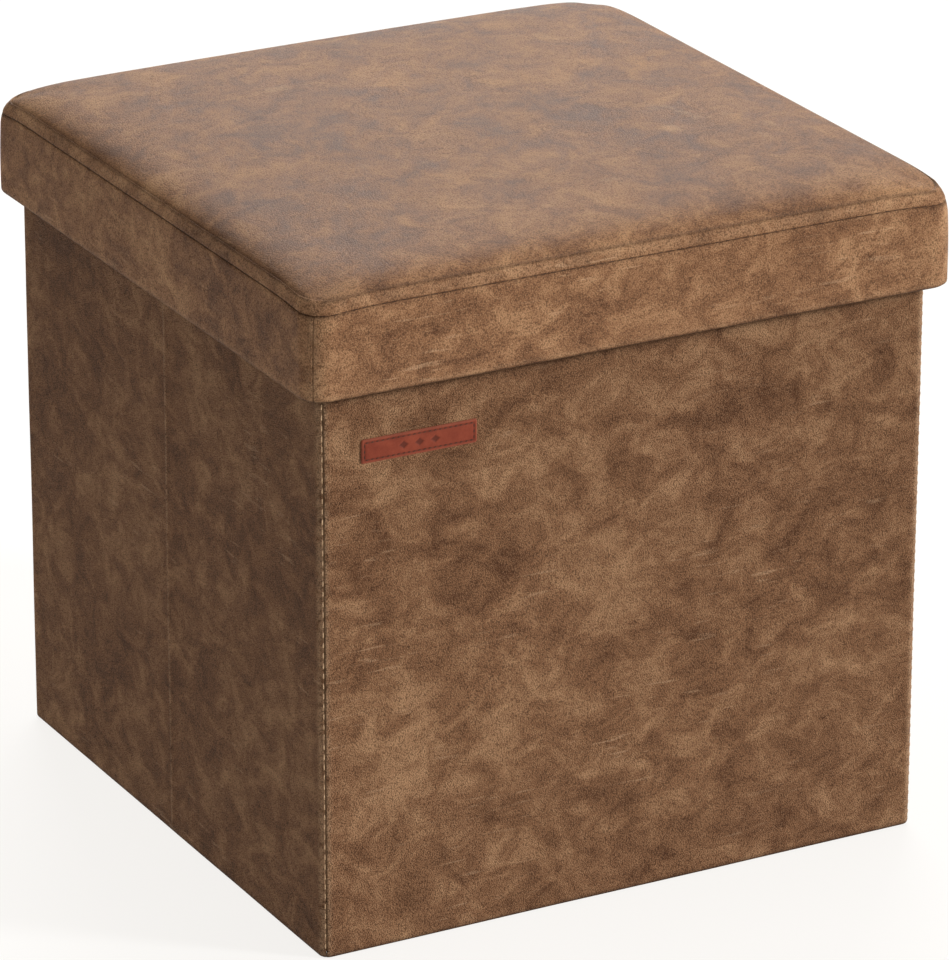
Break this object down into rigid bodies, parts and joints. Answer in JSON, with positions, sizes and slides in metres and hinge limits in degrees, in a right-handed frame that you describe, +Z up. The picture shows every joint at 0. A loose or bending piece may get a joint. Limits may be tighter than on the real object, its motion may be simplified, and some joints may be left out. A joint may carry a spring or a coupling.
{
  "type": "folding storage ottoman",
  "caption": "Square storage ottoman: a lift-off padded leather lid on a leather-covered box whose side walls fold inward along a middle crease.",
  "frame": {"origin": "centre of the footprint, on the floor", "axes": "+Z up; the labelled front wall faces -Y; the folding side walls face -X and +X"},
  "size_m": [0.38, 0.38, 0.376],
  "materials": {
    "body_leather": "distressed grained faux leather",
    "lid_leather": "distressed grained faux leather, soft sheen",
    "corner_leather": "faux leather worn lighter along folds",
    "hem_leather": "dark turned-under edge",
    "patch_leather": "smooth reddish brown with stitched border",
    "lining_cloth": "non-woven cloth",
    "ribbon": "woven ribbon",
    "wall_board": "fibreboard",
    "base_board": "hardboard",
    "foam": "open-cell foam",
    "staple_steel": "bright wire"
  },
  "bodies": {
    "back": {"back_board": "wall_board", "back_cover": "body_leather", "back_lining": "lining_cloth", "back_hem": "hem_leather", "back_left_corner": "corner_leather", "back_right_corner": "corner_leather", "base_cloth": "lining_cloth"},
    "left_rear": {"left_rear_board": "wall_board", "left_rear_cover": "body_leather", "left_rear_lining": "lining_cloth", "left_rear_hem": "hem_leather", "left_crease": "corner_leather"},
    "left_front": {"left_front_board": "wall_board", "left_front_cover": "body_leather", "left_front_lining": "lining_cloth", "left_front_hem": "hem_leather"},
    "front": {"front_board": "wall_board", "front_cover": "body_leather", "front_lining": "lining_cloth", "front_hem": "hem_leather", "front_left_corner": "corner_leather", "label_patch": "patch_leather"},
    "right_rear": {"right_rear_board": "wall_board", "right_rear_cover": "body_leather", "right_rear_lining": "lining_cloth", "right_rear_hem": "hem_leather", "right_crease": "corner_leather"},
    "right_front": {"right_front_board": "wall_board", "right_front_cover": "body_leather", "right_front_lining": "lining_cloth", "right_front_hem": "hem_leather"},
    "corner_strip": {"front_right_corner": "corner_leather"},
    "base_rear": {"base_rear_board": "base_board"},
    "base_front": {"base_front_board": "base_board", "base_ribbon": "ribbon"},
    "lid": {"lid_board": "wall_board", "lid_rim_front": "wall_board", "lid_rim_back": "wall_board", "lid_rim_left": "wall_board", "lid_rim_right": "wall_board", "lid_foam": "foam", "lid_top_cover": "lid_leather", "lid_skirt_front": "lid_leather", "lid_skirt_back": "lid_leather", "lid_skirt_left": "lid_leather", "lid_skirt_right": "lid_leather", "lid_lining": "lining_cloth", "lid_staples": "staple_steel"}
  },
  "joints": [
    {"name": "wall_fold", "type": "hinge", "parent": "back", "child": "left_rear", "pos_m": [-0.1697, 0.1635, 0], "axis": [0, 0, 1], "range_deg": [0, 88], "deforming": ["back_hem", "front_hem", "left_rear_hem", "left_front_hem", "right_rear_hem", "right_front_hem", "back_left_corner", "back_right_corner", "front_left_corner", "front_right_corner", "left_crease", "right_crease", "base_cloth"]},
    {"name": "left_crease_hinge", "type": "hinge", "parent": "left_rear", "child": "left_front", "pos_m": [-0.1783, 0, 0], "axis": [0, 0, 1], "range_deg": [-176, 0]},
    {"name": "front_left_hinge", "type": "hinge", "parent": "left_front", "child": "front", "pos_m": [-0.1697, -0.1635, 0], "axis": [0, 0, 1], "range_deg": [0, 88]},
    {"name": "right_rear_hinge", "type": "hinge", "parent": "back", "child": "right_rear", "pos_m": [0.1697, 0.1635, 0], "axis": [0, 0, 1], "range_deg": [-88, 0]},
    {"name": "right_crease_hinge", "type": "hinge", "parent": "right_rear", "child": "right_front", "pos_m": [0.1783, 0, 0], "axis": [0, 0, 1], "range_deg": [0, 176]},
    {"name": "front_right_hinge", "type": "hinge", "parent": "front", "child": "corner_strip", "pos_m": [0.1697, -0.1635, 0], "axis": [0, 0, 1], "range_deg": [0, 88]},
    {"name": "base_lift", "type": "hinge", "parent": "back", "child": "base_rear", "pos_m": [0, 0.1699, 0.0031], "axis": [-1, 0, 0], "range_deg": [0, 90]},
    {"name": "base_crease_hinge", "type": "hinge", "parent": "base_rear", "child": "base_front", "pos_m": [0, 0, 0.0001], "axis": [-1, 0, 0], "range_deg": [-180, 0]},
    {"name": "lid_lift", "type": "slide", "parent": "back", "child": "lid", "axis": [0, 0, 1], "range_m": [0, 0.25]}
  ],
  "couplings": [
    {"joint": "left_crease_hinge", "follows": "wall_fold", "ratio": -2},
    {"joint": "front_left_hinge", "follows": "wall_fold", "ratio": 1},
    {"joint": "right_rear_hinge", "follows": "wall_fold", "ratio": -1},
    {"joint": "right_crease_hinge", "follows": "wall_fold", "ratio": 2},
    {"joint": "front_right_hinge", "follows": "wall_fold", "ratio": 1},
    {"joint": "base_crease_hinge", "follows": "base_lift", "ratio": -2}
  ]
}
